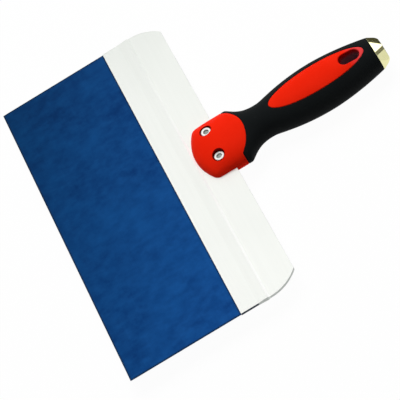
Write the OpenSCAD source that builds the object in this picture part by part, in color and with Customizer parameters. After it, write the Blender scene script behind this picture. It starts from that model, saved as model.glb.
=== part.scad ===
// Wide flexible taping knife with a blued spring-steel blade, an aluminium backing strip, a two-shot
// moulded handle held by two tubular rivets, and a metal hammer end. Millimetres, +Z up out of the face.
// X runs along the working edge, +Y from the working edge to the hammer end.

/* [Blade] */

// Length of the working edge
blade_w = 254; // [200:1:300]
// Blade showing in front of the backing strip
blade_out = 81.3; // [60:0.1:95]
// Thickness of the blade steel
blade_t = 0.5; // [0.4:0.05:0.6]
// Blade hidden inside the backing strip
blade_tuck = 12.6; // [10:0.1:14]
// Width of the ground band along the working edge
ground_band = 4; // [2:0.5:8]

/* [Backing strip] */

// Depth of the strip, from its front lips to its spine
strip_d = 42.8; // [40:0.1:48]
// Thickness of the strip at its lips and web
strip_t = 2; // [1.8:0.1:2.4]
// Thickness of the strip across its ridge
ridge_t = 3.3; // [2.8:0.1:3.6]
// Distance from the front lips to the crest of the ridge
ridge_at = 19.6; // [18:0.1:20.4]
// Radius of the rounded rear corners
end_r = 28; // [24:0.5:34]

/* [Handle] */

// Width of the jaws that clasp the strip
jaw_w = 46.4; // [42:0.2:50]
// Thickness of the jaws
jaw_t = 20; // [18:0.2:21]
// Length of the jaws over the strip
jaw_over = 21.6; // [20:0.1:21.7]
// Radius of the broad front edge of the jaws
nose_r = 39; // [34:1:60]
// Width of the waist behind the jaws
neck_w = 25.2; // [22:0.2:29]
// Greatest width, at the palm swell
palm_w = 38.9; // [35:0.1:43]
// Greatest thickness, at the palm swell
palm_t = 24.4; // [22:0.2:27]
// Width at the hammer end
butt_w = 25.7; // [25:0.1:28]
// Thickness at the hammer end
butt_t = 19.6; // [17:0.2:21]
// Length of the handle behind the spine of the strip
handle_l = 115.5; // [112:0.5:124]
// Thickness of the soft grip over the hard core
skin_t = 2.2; // [1.6:0.1:2.6]

/* [Openings in the grip] */

// Length of the oval where the hard core shows
oval_l = 71.8; // [68:0.2:74]
// Width of that oval
oval_w = 22; // [20:0.2:23.4]
// Length of the hanging hole
hang_l = 14.6; // [13:0.2:16]
// Width of the hanging hole
hang_w = 8.4; // [7:0.2:9.4]

/* [Rivets] */

// Distance between the two rivets
rivet_gap = 23.4; // [20:0.2:25]
// Distance from the spine forward to the rivets
rivet_in = 6.1; // [5:0.1:8]
// Diameter of the rivet heads
head_d = 6.9; // [6.2:0.1:7.4]
// Outside diameter of the rivet sleeve
sleeve_d = 5; // [4.6:0.1:5.2]
// Bore of the rivet sleeve
sleeve_bore = 3.8; // [3.2:0.1:4]
// Diameter of the recess round each rivet head
recess_d = 8.6; // [8:0.1:9.2]

/* [Hammer end] */

// Length of the metal end beyond the grip
cap_l = 6.7; // [5:0.1:9]
// Width of the metal end where it leaves the grip
cap_w = 23.8; // [22:0.1:24.6]
// Width across the sides of the metal end, level with the striking face
face_w = 23.2; // [20:0.1:23.8]
// Thickness of the metal end where it leaves the grip
cap_t = 14.4; // [12.8:0.1:15.4]
// Thickness of the striking face
face_t = 7.8; // [7:0.1:9]

/* [Hidden] */

$fn = 96;
wide_arc_fn = 180;

// Lengths of the stretches of the handle
nose_dome_l = 19;
jaw_back = 8.1;
joint_bulge = 9.8;
waist_in_l = 21.4;
waist_out_l = 42.5;
oval_margin = 5.5;
hang_margin = 3.4;
core_start = 5;
core_past = 1;

// Places along the knife, measured from the working edge
strip_y = blade_out;
slot_y = blade_out + blade_tuck;
ridge_y = blade_out + ridge_at;
spine_y = blade_out + strip_d;
nose_y = spine_y - jaw_over;
nose_full_y = nose_y + nose_dome_l;
rivet_y = spine_y - rivet_in;
joint_y = spine_y + jaw_back;
shoulder_y = joint_y + 2.4;
neck_y = shoulder_y + waist_in_l;
palm_y = neck_y + waist_out_l;
butt_y = spine_y + handle_l;
oval_end_y = butt_y - oval_margin;
oval_y = oval_end_y - oval_l / 2;
hang_y = oval_end_y - hang_margin - hang_l / 2;
knife_l = butt_y + cap_l;

// Small sizes that follow the ones above
ground_edge_t = blade_t * 0.6;
ridge_foot = 1.4;
slot_gap = 0.3;
nose_t = 4;
nose_flat_w = 7;
nose_corner_r = 5;
joint_arc_r = 25;
joint_arc_y = joint_y + joint_bulge - joint_arc_r;
head_t = 1;
head_top = 7.2;
head_edge = 0.3;
bore_edge = 0.2;
pin_short = 0.9;
pin_chamfer = 0.5;
hang_flare = 1.1;
rim_drop = 0.6;
rim_reach = 3;
butt_edge_r = 0.5;
butt_edge_step = 0.15;
face_corner_r = 3.2;
face_corner_n = 5;
cap_flat_w = 13.8;
cap_edge_t = 0.675 * cap_t;
flat_end_w = 4.5;
root_neck = [12, 2.4, 5.6];
root_foot = [15, 1.4, 8];
// Height and width of the shapes that only cut or clip
tall = 2.5 * palm_t;
wide = 2 * jaw_w;

// Plan of the jaws: where the front arc runs into the corner arcs, and those into the straight sides
nose_side = jaw_w / 2 - nose_corner_r;
nose_reach = nose_r - nose_corner_r;
nose_centre_y = nose_y + sqrt(nose_r * nose_r - nose_flat_w * nose_flat_w / 4);
nose_turn = asin(nose_side / nose_reach);
nose_touch_y = nose_centre_y - nose_r * cos(nose_turn);
nose_corner_y = nose_centre_y - nose_reach * cos(nose_turn);

// Section of the handle: a superellipse a little squarer than an ellipse
squareness = 2.2;
// How the handle's outline bends: the length of each soft start, and the power of each curve
waist_start = 0.11;
waist_bend = 2.67;
swell_start = 0.05;
swell_bend = 2.2;
taper_bend = 1.65;
dome_bend = 1.7;
slim_bend = 2.4;
ring_n = 36;
oval_n = 64;

// ---- Curves ----

function mix(a, b, t) = a + (b - a) * t;
function share(y, y0, y1) = min(1, max(0, (y - y0) / (y1 - y0)));
function s_curve(t) = t * t * (3 - 2 * t);
// Starts level over a short stretch set by k, runs steepest there, then eases out by the power p
function ease(t, k, p) = 1 - pow(1 - t * t / (t + k) * (1 + k), p);
// Rises upright, then rounds over to level
function dome(t) = pow(1 - pow(1 - t, dome_bend), 1 / dome_bend);
function stretch(y0, y1, n) = [for (i = [0 : n - 1]) mix(y0, y1, i / n)];
function signed_pow(v, p) = sign(v) * pow(abs(v), p);

// Half width of the jaws: a broad front arc, small corner arcs, straight sides
function jaw_half_width(y) =
    y < nose_touch_y ? sqrt(nose_r * nose_r - pow(nose_centre_y - y, 2)) :
    y < nose_corner_y ? nose_side + sqrt(pow(nose_corner_r, 2) - pow(nose_corner_y - y, 2)) :
    jaw_w / 2;

// Half width of the handle at a place along it: jaws, waist, palm swell, butt
function half_width(y) =
    y < shoulder_y ? jaw_half_width(y) :
    y < neck_y ? mix(jaw_w, neck_w, ease(share(y, shoulder_y, neck_y), waist_start, waist_bend)) / 2 :
    y < palm_y ? mix(neck_w, palm_w, ease(share(y, neck_y, palm_y), swell_start, swell_bend)) / 2 :
    mix(palm_w, butt_w, pow(share(y, palm_y, butt_y), taper_bend)) / 2;

// Half thickness: the jaws rise from a thin nose in a long dome, then swell slowly to the palm
function half_thick(y) =
    y < nose_full_y ? mix(nose_t, jaw_t, dome(share(y, nose_y, nose_full_y))) / 2 :
    y < palm_y ? mix(jaw_t, palm_t, s_curve(share(y, shoulder_y, palm_y))) / 2 :
    mix(palm_t, butt_t, pow(share(y, palm_y, butt_y), slim_bend)) / 2;

// How far the edge of the butt has rounded in
function edge_in(y) =
    y < butt_y - butt_edge_r ? 0 :
    butt_edge_r - sqrt(max(0, pow(butt_edge_r, 2) - pow(min(y, butt_y) - butt_y + butt_edge_r, 2)));

// One closed ring of the handle, drawn in by a distance
function ring(y, drawn_in) =
    let (a = half_width(y) - drawn_in, b = half_thick(y) - drawn_in)
    [for (i = [0 : ring_n - 1])
        let (turn = 360 * i / ring_n)
        [a * signed_pow(cos(turn), 2 / squareness), y, b * signed_pow(sin(turn), 2 / squareness)]];

// Places of the rings: closer together where the form curves most
nose_start = asin(nose_flat_w / 2 / nose_r);
nose_places = concat(
    [for (i = [0 : 6]) nose_centre_y - nose_r * cos(mix(nose_start, nose_turn, i / 7))],
    [for (i = [0 : 3]) nose_corner_y - nose_corner_r * cos(mix(nose_turn, 90, i / 4))],
    stretch(nose_corner_y, nose_full_y, 4),
    stretch(nose_full_y, shoulder_y, 3));
back_places = concat(stretch(shoulder_y, neck_y, 11), stretch(neck_y, palm_y, 10),
                     stretch(palm_y, butt_y - butt_edge_r, 9));

// ---- Shared shapes ----

// Skin over a list of equal rings, closed at both ends
module skin(rings) {
    n = len(rings[0]);
    last = len(rings) - 1;
    sides = [for (r = [0 : last - 1], i = [0 : n - 1])
        let (a = r * n + i, b = r * n + (i + 1) % n)
        each [[a, b, a + n], [b, b + n, a + n]]];
    start = [for (i = [n - 1 : -1 : 0]) i];
    end = [for (i = [0 : n - 1]) last * n + i];
    polyhedron(points = [for (r = rings) each r], faces = concat(sides, [start], [end]), convexity = 6);
}

// The outer form of the whole handle
module handle_form() {
    edge_places = [butt_y - butt_edge_r, butt_y - butt_edge_step, butt_y];
    skin([for (y = concat(nose_places, back_places, edge_places)) ring(y, edge_in(y))]);
}

// The hard core where the soft grip covers it
module inner_form(end_y) {
    skin([for (y = concat([joint_y - core_start], back_places, [end_y])) ring(y, skin_t)]);
}

// A rod standing along Z through the whole handle
module rod(x, y, d) {
    translate([x, y, -tall / 2])
        cylinder(h = tall, d = d);
}

// Everything in front of the line where the hard jaws meet the soft grip
module front_region() {
    translate([0, 0, -tall / 2])
        linear_extrude(tall)
            union() {
                translate([-wide / 2, joint_y - wide])
                    square(wide);
                translate([0, joint_arc_y])
                    circle(r = joint_arc_r, $fn = wide_arc_fn);
            }
}

// Elliptical opening through both faces
module oval_region() {
    translate([0, oval_y, -tall / 2])
        linear_extrude(tall)
            polygon([for (i = [0 : oval_n - 1])
                let (turn = 360 * i / oval_n)
                [oval_w / 2 * cos(turn), oval_l / 2 * sin(turn)]]);
}

// Hanging hole with straight walls and a flared rim at each face
module hang_cut() {
    r = hang_w / 2;
    half = hang_l / 2 - r;
    rim_z = half_thick(hang_y) - rim_drop;
    translate([0, hang_y, 0]) {
        translate([-r, -half, -tall / 2])
            cube([hang_w, 2 * half, tall]);
        for (end = [-half, half])
            translate([0, end, -tall / 2])
                cylinder(h = tall, r = r);
        for (flip = [0, 1])
            mirror([0, 0, flip])
                translate([0, 0, rim_z - hang_flare]) {
                    rotate([90, 0, 0])
                        linear_extrude(2 * half, center = true)
                            polygon([[-r, 0], [r, 0], [r + rim_reach, rim_reach],
                                     [-r - rim_reach, rim_reach]]);
                    for (end = [-half, half])
                        translate([0, end, 0])
                            cylinder(h = rim_reach, r1 = r, r2 = r + rim_reach);
                }
    }
}

// Root of the hammer end, moulded into the core: a neck with a wider foot
module root_form() {
    translate([-root_neck.x / 2, butt_y - root_neck.y, -root_neck.z / 2])
        cube(root_neck);
    translate([-root_foot.x / 2, butt_y - root_neck.y - root_foot.y, -root_foot.z / 2])
        cube(root_foot);
}

// ---- Pieces ----

// Spring-steel blade: flat plate with a ground working edge
module blade() {
    color([0.07, 0.28, 0.48])
        rotate([90, 0, 90])
            linear_extrude(blade_w, center = true)
                polygon([
                    [0, -ground_edge_t / 2],
                    [ground_band, -blade_t / 2],
                    [slot_y, -blade_t / 2],
                    [slot_y, blade_t / 2],
                    [ground_band, blade_t / 2],
                    [0, ground_edge_t / 2]
                ]);
}

// Aluminium extrusion: slotted lips, a ramp up to the ridge, then a flat web, cut to rounded ends
module backing_strip() {
    lip = strip_t / 2;
    crest = ridge_t / 2;
    color([0.93, 0.94, 0.93])
        difference() {
            intersection() {
                rotate([90, 0, 90])
                    linear_extrude(blade_w, center = true)
                        polygon([
                            [strip_y, blade_t / 2],
                            [strip_y, lip],
                            [slot_y, lip],
                            [ridge_y, crest],
                            [ridge_y + ridge_foot, lip],
                            [spine_y, lip],
                            [spine_y, -lip],
                            [ridge_y + ridge_foot, -lip],
                            [ridge_y, -crest],
                            [slot_y, -lip],
                            [strip_y, -lip],
                            [strip_y, -blade_t / 2],
                            [slot_y, -blade_t / 2],
                            [slot_y, blade_t / 2]
                        ]);
                strip_plan();
            }
            for (side = [-1, 1])
                rod(side * rivet_gap / 2, rivet_y, sleeve_d);
        }
}

// Plan of the strip: square front corners, wide arcs into the spine
module strip_plan() {
    arc_y = spine_y - strip_d / 2;
    half = blade_w / 2;
    translate([0, 0, -tall / 2])
        linear_extrude(tall)
            union() {
                translate([-half, strip_y])
                    square([blade_w, arc_y - strip_y]);
                translate([-half + end_r, arc_y])
                    square([blade_w - 2 * end_r, spine_y - arc_y]);
                intersection() {
                    union() {
                        translate([half - end_r, arc_y])
                            circle(r = end_r, $fn = wide_arc_fn);
                        translate([end_r - half, arc_y])
                            circle(r = end_r, $fn = wide_arc_fn);
                    }
                    translate([-half, arc_y])
                        square([blade_w, spine_y - arc_y]);
                }
            }
}

// Hard core: jaws that clasp the strip, a stem inside the grip, and the raised oval on both faces
module handle_core() {
    color([0.88, 0.1, 0.05])
        difference() {
            union() {
                intersection() {
                    handle_form();
                    front_region();
                }
                intersection() {
                    handle_form();
                    oval_region();
                }
                inner_form(butt_y);
            }
            strip_slot();
            rivet_holes();
            hang_cut();
            root_form();
        }
}

// Slot in the jaws for the web of the strip, open at the front and both sides
module strip_slot() {
    translate([-wide / 2, spine_y + slot_gap - wide, -strip_t / 2])
        cube([wide, wide, strip_t]);
}

// Sleeve bores through both jaws, with a recess round each head
module rivet_holes() {
    for (side = [-1, 1]) {
        rod(side * rivet_gap / 2, rivet_y, sleeve_d);
        for (flip = [0, 1])
            mirror([0, 0, flip])
                translate([side * rivet_gap / 2, rivet_y, head_top - head_t])
                    cylinder(h = tall / 2, d = recess_d);
    }
}

// Soft over-moulding, open where the jaws and the ovals show
module soft_grip() {
    color([0.05, 0.06, 0.07])
        difference() {
            handle_form();
            front_region();
            oval_region();
            inner_form(butt_y + core_past);
        }
}

// Hammer end: tapered block with a faceted crown, and the root that holds it in the core
module hammer_end() {
    color([0.72, 0.62, 0.33])
        union() {
            translate([0, butt_y, 0])
                difference() {
                    intersection() {
                        translate([0, 0, -tall / 2])
                            linear_extrude(tall)
                                cap_plan();
                        rotate([90, 0, 90])
                            linear_extrude(tall, center = true)
                                polygon([[0, -cap_t / 2], [cap_l, -face_t / 2],
                                         [cap_l, face_t / 2], [0, cap_t / 2]]);
                    }
                    for (side = [0, 1], flip = [0, 1])
                        mirror([side, 0, 0])
                            mirror([0, 0, flip])
                                crown_facet();
                }
            root_form();
        }
}

// Plan of the hammer end: narrows to the striking face, with rounded corners
module cap_plan() {
    lean = atan((cap_w - face_w) / 2 / cap_l);
    r = face_corner_r;
    tip = [face_w / 2 - r * (1 - sin(lean)) / cos(lean), cap_l - r];
    corner = [for (i = [0 : face_corner_n])
        let (turn = mix(lean, 90, i / face_corner_n))
        tip + r * [cos(turn), sin(turn)]];
    mirrored = [for (i = [face_corner_n : -1 : 0]) [-corner[i].x, corner[i].y]];
    polygon(concat([[cap_w / 2, 0]], corner, mirrored, [[-cap_w / 2, 0]]));
}

// Slanting cut that leaves the flat top narrower towards the striking face
module crown_facet() {
    fall_x = (cap_t - cap_edge_t) / (cap_w - cap_flat_w);
    fall_y = ((cap_t - face_t) / 2 + fall_x * (cap_flat_w - flat_end_w) / 2) / cap_l;
    translate([cap_flat_w / 2, 0, cap_t / 2])
        rotate([0, atan(norm([fall_x, fall_y])), atan2(fall_y, fall_x)])
            translate([-tall / 2, -tall / 2, 0])
                cube([tall, tall, cap_t]);
}

// Rivet sleeve: flat flanged head on the face, tube down to the pin's head
module rivet_sleeve(side) {
    color([0.8, 0.81, 0.8])
        translate([side * rivet_gap / 2, rivet_y, 0])
            rotate_extrude()
                polygon([
                    [sleeve_bore / 2, head_t - head_top],
                    [sleeve_d / 2, head_t - head_top],
                    [sleeve_d / 2, head_top - head_t],
                    [head_d / 2, head_top - head_t],
                    [head_d / 2, head_top - head_edge],
                    [head_d / 2 - head_edge, head_top],
                    [sleeve_bore / 2 + bore_edge, head_top],
                    [sleeve_bore / 2, head_top - bore_edge]
                ]);
}

// Rivet pin: flat head on the back, shank pressed into the sleeve and ending inside it
module rivet_pin(side) {
    r = sleeve_bore / 2;
    color([0.62, 0.64, 0.62])
        translate([side * rivet_gap / 2, rivet_y, 0])
            rotate_extrude()
                polygon([
                    [0, -head_top],
                    [head_d / 2 - head_edge, -head_top],
                    [head_d / 2, head_edge - head_top],
                    [head_d / 2, head_t - head_top],
                    [r, head_t - head_top],
                    [r, head_top - pin_short - pin_chamfer],
                    [r - pin_chamfer, head_top - pin_short],
                    [0, head_top - pin_short]
                ]);
}

// ---- Assembly ----

// Sets the knife down with the middle of its box over the origin
module placed() {
    translate([0, -knife_l / 2, palm_t / 2])
        children();
}

placed() blade();
placed() backing_strip();
placed() handle_core();
placed() soft_grip();
placed() hammer_end();
placed() rivet_sleeve(-1);  // rivet_sleeve_left
placed() rivet_sleeve(1);  // rivet_sleeve_right
placed() rivet_pin(-1);  // rivet_pin_left
placed() rivet_pin(1);  // rivet_pin_right
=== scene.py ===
"""Wide taping knife, dressed over its CAD frame.

The handle's sections repeat the rules of the CAD source in millimetres, measured from the
working edge with z = 0 in the plane of the blade. place() carries them into the frame, in metres.
"""

from math import asin, cos, degrees, pi, radians, sin, sqrt

import bmesh
import bpy
from mathutils import Matrix, Vector


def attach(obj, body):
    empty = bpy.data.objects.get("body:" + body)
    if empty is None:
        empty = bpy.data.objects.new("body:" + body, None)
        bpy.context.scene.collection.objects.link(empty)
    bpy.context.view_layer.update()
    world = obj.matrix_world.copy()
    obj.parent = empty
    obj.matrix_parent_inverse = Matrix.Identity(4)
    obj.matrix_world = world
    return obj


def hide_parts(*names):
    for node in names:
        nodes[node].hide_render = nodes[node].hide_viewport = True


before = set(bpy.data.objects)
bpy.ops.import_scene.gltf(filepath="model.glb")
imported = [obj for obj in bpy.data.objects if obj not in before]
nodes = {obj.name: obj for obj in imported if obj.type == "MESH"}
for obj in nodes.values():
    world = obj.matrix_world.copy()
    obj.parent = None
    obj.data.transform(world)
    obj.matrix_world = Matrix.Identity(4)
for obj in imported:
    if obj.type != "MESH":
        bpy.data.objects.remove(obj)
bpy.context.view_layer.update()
scene = bpy.context.scene

# ---- Sizes of the knife, in millimetres ----

MM = 0.001
BLADE_W, BLADE_OUT, BLADE_TUCK = 254, 81.3, 12.6
STRIP_D, STRIP_T, SLOT_GAP = 42.8, 2.0, 0.3
RIDGE_AT, RIDGE_FOOT = 19.6, 1.4
JAW_W, JAW_T, JAW_OVER, JAW_BACK = 46.4, 20, 21.6, 8.1
NOSE_R, NOSE_CORNER_R, NOSE_T, NOSE_FLAT_W, NOSE_DOME_L = 39, 5, 4, 7, 19
JOINT_ARC_R, JOINT_REACH = 25, 17.9
SHOULDER_L, WAIST_IN_L, WAIST_OUT_L = 2.4, 21.4, 42.5
NECK_W = 25.2
PALM_W, PALM_T = 38.9, 24.4
BUTT_W, BUTT_T = 25.7, 19.6
HANDLE_L = 115.5
SKIN_T = 2.2
OVAL_L, OVAL_W, OVAL_MARGIN = 71.8, 22, 5.5
HANG_L, HANG_W, HANG_MARGIN = 14.6, 8.4, 3.4
RIVET_GAP, RIVET_IN = 23.4, 6.1
HEAD_D, HEAD_T, HEAD_TOP, HEAD_EDGE_R = 6.9, 1, 7.2, 0.22
SLEEVE_D, SLEEVE_BORE, RECESS_D = 5, 3.8, 8.6
CAP_L = 6.7

# Places along the knife, measured from the working edge
SPINE_Y = BLADE_OUT + STRIP_D
SLOT_Y = BLADE_OUT + BLADE_TUCK
RIDGE_Y = BLADE_OUT + RIDGE_AT
NOSE_Y = SPINE_Y - JAW_OVER
NOSE_FULL_Y = NOSE_Y + NOSE_DOME_L
RIVET_Y = SPINE_Y - RIVET_IN
JOINT_Y = SPINE_Y + JAW_BACK
JOINT_ARC_Y = SPINE_Y + JOINT_REACH - JOINT_ARC_R
SHOULDER_Y = JOINT_Y + SHOULDER_L
NECK_Y = SHOULDER_Y + WAIST_IN_L
PALM_Y = NECK_Y + WAIST_OUT_L
BUTT_Y = SPINE_Y + HANDLE_L
OVAL_END_Y = BUTT_Y - OVAL_MARGIN
OVAL_Y = OVAL_END_Y - OVAL_L / 2
HANG_Y = OVAL_END_Y - HANG_MARGIN - HANG_L / 2
KNIFE_L = BUTT_Y + CAP_L

# Plan of the jaws: where the front arc runs into the corner arcs, and those into the straight sides
NOSE_SIDE = JAW_W / 2 - NOSE_CORNER_R
NOSE_REACH = NOSE_R - NOSE_CORNER_R
NOSE_CENTRE_Y = NOSE_Y + sqrt(NOSE_R ** 2 - NOSE_FLAT_W ** 2 / 4)
NOSE_TURN = asin(NOSE_SIDE / NOSE_REACH)
NOSE_TOUCH_Y = NOSE_CENTRE_Y - NOSE_R * cos(NOSE_TURN)
NOSE_CORNER_Y = NOSE_CENTRE_Y - NOSE_REACH * cos(NOSE_TURN)

# Small roundings that catch the light
LIP_R = 0.55
HANG_RIM_R = 1.2
JOINT_LIP_R = 0.45
BUTT_EDGE_R = 0.6

# Section of the handle: a superellipse a little squarer than an ellipse
SQUARENESS = 2.2
# How its outline bends: the length of each soft start, and the power of each curve
WAIST_START, WAIST_BEND = 0.11, 2.67
SWELL_START, SWELL_BEND = 0.05, 2.2
TAPER_BEND, DOME_BEND, SLIM_BEND = 1.65, 1.7, 2.4

# How far cutters pass out of the handle
CUT_WIDE, CUT_AHEAD, CUT_TALL = 40, 10, 20
# How far the stem reaches into the jaws, how much deeper than the grip the step behind the jaws
# goes, and the gap that keeps the stem's faces out of its neighbours'
STEM_TUCK, WALL_TUCK, SHELL_GAP = 3, 0.3, 0.02

# How finely the pieces are drawn: points in each run of an outline and once round, and rings
RUN = 72
JAW_AROUND, STEM_AROUND, ROD_AROUND = 224, 96, 96
NOSE_ARC_RINGS, NOSE_CORNER_RINGS, JAW_RINGS = 18, 10, 34
GRIP_RINGS, STEM_RINGS, ISLAND_RINGS = 40, 60, 60
HOLE_RIM_RINGS, HOLE_WALL_RINGS = 8, 6
RIVET_AROUND, RIVET_EDGE_STEPS = 72, 4
# Powers that draw the rings closer together towards the rounded edges
JAW_CROWDING, GRIP_CROWDING = 1.5, 1.7
# Distances from an oval's edge at which its rounding gets a ring, and the islands' last ring
LIP_STEPS = (0.04, 0.13, 0.26, 0.4)
ISLAND_GAP = 0.012


def place(x, y, z):
    """A point of the knife, in millimetres from the working edge, as a point of the frame."""
    return Vector((x, y - KNIFE_L / 2, z + PALM_T / 2)) * MM


def frame_y(y):
    """A distance from the working edge, in millimetres, as a Y of the frame."""
    return place(0, y, 0).y


# ---- The handle's form ----

def mix(a, b, t):
    return a + (b - a) * t


def share(y, y0, y1):
    """How much of the way from y0 to y1 is behind y, from 0 to 1."""
    return min(1.0, max(0.0, (y - y0) / (y1 - y0)))


def s_curve(t):
    return t * t * (3 - 2 * t)


def ease(t, k, power):
    """Starts level over a short stretch set by k, runs steepest there, then eases out."""
    return 1 - (1 - t * t / (t + k) * (1 + k)) ** power


def dome(t):
    """Rises upright, then rounds over to level."""
    return (1 - (1 - t) ** DOME_BEND) ** (1 / DOME_BEND)


def signed_pow(v, p):
    return (1 if v >= 0 else -1) * abs(v) ** p


def half_width(y):
    """Half width of the handle: rounded nose, straight jaws, waist, palm swell, butt."""
    if y < SHOULDER_Y:
        return jaw_half_width(y)
    if y < NECK_Y:
        drawn_in = ease(share(y, SHOULDER_Y, NECK_Y), WAIST_START, WAIST_BEND)
        return mix(JAW_W, NECK_W, drawn_in) / 2
    if y < PALM_Y:
        return mix(NECK_W, PALM_W, ease(share(y, NECK_Y, PALM_Y), SWELL_START, SWELL_BEND)) / 2
    return mix(PALM_W, BUTT_W, share(y, PALM_Y, BUTT_Y) ** TAPER_BEND) / 2


def jaw_half_width(y):
    """Plan of the jaws: a broad front arc, small corner arcs, straight sides."""
    if y < NOSE_TOUCH_Y:
        return sqrt(max(0.0, NOSE_R ** 2 - (NOSE_CENTRE_Y - y) ** 2))
    if y < NOSE_CORNER_Y:
        return NOSE_SIDE + sqrt(max(0.0, NOSE_CORNER_R ** 2 - (NOSE_CORNER_Y - y) ** 2))
    return JAW_W / 2


def half_thick(y):
    """Half thickness: thin at the nose, full over the jaws, fullest at the palm."""
    if y < NOSE_FULL_Y:
        return mix(NOSE_T, JAW_T, dome(share(y, NOSE_Y, NOSE_FULL_Y))) / 2
    if y < PALM_Y:
        return mix(JAW_T, PALM_T, s_curve(share(y, SHOULDER_Y, PALM_Y))) / 2
    return mix(PALM_T, BUTT_T, share(y, PALM_Y, BUTT_Y) ** SLIM_BEND) / 2


def on_section(turn, y, drawn_in=0.0):
    """Point (x, y, z) of the handle's section at a turn in radians, drawn in from the surface."""
    a, b = half_width(y) - drawn_in, half_thick(y) - drawn_in
    x = a * signed_pow(cos(turn), 2 / SQUARENESS)
    z = b * signed_pow(sin(turn), 2 / SQUARENESS)
    return x, y, z


def turn_at(x, y):
    """The turn, on the upper half, at which the section stands over x."""
    c = min(1.0, abs(x) / half_width(y)) ** (SQUARENESS / 2)
    turn = asin(sqrt(1 - c * c))
    return turn if x >= 0 else pi - turn


def top_z(x, y):
    """Height of the upper surface over a point of the plan."""
    inside = max(0.0, 1 - (abs(x) / half_width(y)) ** SQUARENESS)
    return half_thick(y) * inside ** (1 / SQUARENESS)


def on_top(plan, drop=0.0):
    """Points of the upper surface over points of the plan, lowered by a drop."""
    return [(x, y, top_z(x, y) - drop) for x, y in plan]


def joint_y(turn):
    """Where the hard jaws end on that turn: an arc over the faces, straight round the sides."""
    y = JOINT_Y
    for _ in range(12):  # the arc's place and the section's width follow each other, and settle
        x = on_section(turn, y)[0]
        y = max(JOINT_Y, JOINT_ARC_Y + sqrt(max(0.0, JOINT_ARC_R ** 2 - x * x)))
    return y


def lip_drop(distance, radius):
    """How far a quarter-round edge has fallen at a distance from the edge."""
    d = min(distance, radius)
    return radius - sqrt(radius ** 2 - (radius - d) ** 2)


# ---- Outlines ----
# The oval, the hanging hole and the grip's border have four runs of RUN points each, so that one
# can be joined to the next: +X side, butt end, -X side, front end.

def oval_points(grow):
    """The elliptical opening in plan, grown outwards by a distance."""
    h, w = OVAL_L / 2, OVAL_W / 2
    corner = radians(62)  # where the +X run meets the butt run
    corners = (-corner, corner, pi - corner, pi + corner, 2 * pi - corner)
    points = []
    for start, end in zip(corners, corners[1:]):
        for i in range(RUN):
            turn = mix(start, end, i / RUN)
            x, y = w * cos(turn), h * sin(turn)
            out = Vector((x / w ** 2, y / h ** 2)).normalized() * grow
            points.append((x + out.x, OVAL_Y + y + out.y))
    return points


def hang_points(grow):
    """The hanging hole in plan, grown outwards: two straight sides and two round ends."""
    half = HANG_L / 2 - HANG_W / 2
    r = HANG_W / 2 + grow
    points = []
    for side, start in ((1, 0.0), (-1, pi)):
        points += [(side * r, HANG_Y + side * mix(-half, half, i / RUN)) for i in range(RUN)]
        turns = [start + pi * i / RUN for i in range(RUN)]
        points += [(r * cos(t), HANG_Y + side * half + r * sin(t)) for t in turns]
    return points


def grip_border():
    """The upper half of the grip's border as (turn, y): +X side, butt edge, -X side, joint."""
    front = joint_y(0)
    border = [(0.0, mix(front, BUTT_Y, i / RUN)) for i in range(RUN)]
    border += [(pi * i / RUN, BUTT_Y) for i in range(RUN)]
    border += [(pi, mix(BUTT_Y, front, i / RUN)) for i in range(RUN)]
    border += [(pi - pi * i / RUN, joint_y(pi - pi * i / RUN)) for i in range(RUN)]
    return border


def full_turn(count):
    """Turns in radians, evenly spaced once round."""
    return [2 * pi * i / count for i in range(count)]


def circle(x, y, r, count):
    """Points round a circle in plan."""
    return [(x + r * cos(turn), y + r * sin(turn)) for turn in full_turn(count)]


def rectangle(x0, y0, x1, y1):
    """Corners of a rectangle in plan."""
    return [(x0, y0), (x1, y0), (x1, y1), (x0, y1)]


# ---- Building a skin from rings ----

class Skin:
    """Gathers rings of points and the faces between them, then makes one object."""

    def __init__(self):
        self.bm = bmesh.new()

    def ring(self, points):
        return [self.bm.verts.new(place(*p)) for p in points]

    def bridge(self, a, b, closed=True):
        """Faces from one ring to the next."""
        count = len(a)
        for i in range(count if closed else count - 1):
            j = (i + 1) % count
            corners = [a[i], a[j], b[j], b[i]]
            if len(set(corners)) == 4:
                self.bm.faces.new(corners)

    def sheet(self, rings):
        """Rings joined one after the other; returns them."""
        made = [self.ring(r) for r in rings]
        for a, b in zip(made, made[1:]):
            self.bridge(a, b)
        return made

    def fan(self, ring, centre):
        """Closes a ring with triangles round a point."""
        middle = self.bm.verts.new(place(*centre))
        for i, v in enumerate(ring):
            self.bm.faces.new([v, ring[(i + 1) % len(ring)], middle])

    def finish(self, name):
        """Merges what coincides, turns the faces outwards and makes the object."""
        bmesh.ops.remove_doubles(self.bm, verts=self.bm.verts, dist=1e-6)
        bmesh.ops.dissolve_degenerate(self.bm, edges=self.bm.edges, dist=1e-7)
        bmesh.ops.recalc_face_normals(self.bm, faces=self.bm.faces)
        return new_object(name, self.bm)


def new_object(name, bm):
    """An object made from a bmesh, which is freed."""
    mesh = bpy.data.meshes.new(name)
    bm.to_mesh(mesh)
    bm.free()
    obj = bpy.data.objects.new(name, mesh)
    scene.collection.objects.link(obj)
    return obj


SMOOTH_ANGLE = 32  # degrees


def smooth_by_angle(obj, flat_over=None):
    """Smooth shading, kept crisp at sharp edges and on faces over an area in square millimetres."""
    bm = bmesh.new()
    bm.from_mesh(obj.data)
    for face in bm.faces:
        face.smooth = flat_over is None or face.calc_area() < flat_over * MM * MM
    for edge in bm.edges:
        bend = degrees(edge.calc_face_angle(0))
        edge.smooth = len(edge.link_faces) == 2 and bend < SMOOTH_ANGLE
    bm.to_mesh(obj.data)
    bm.free()


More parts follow.
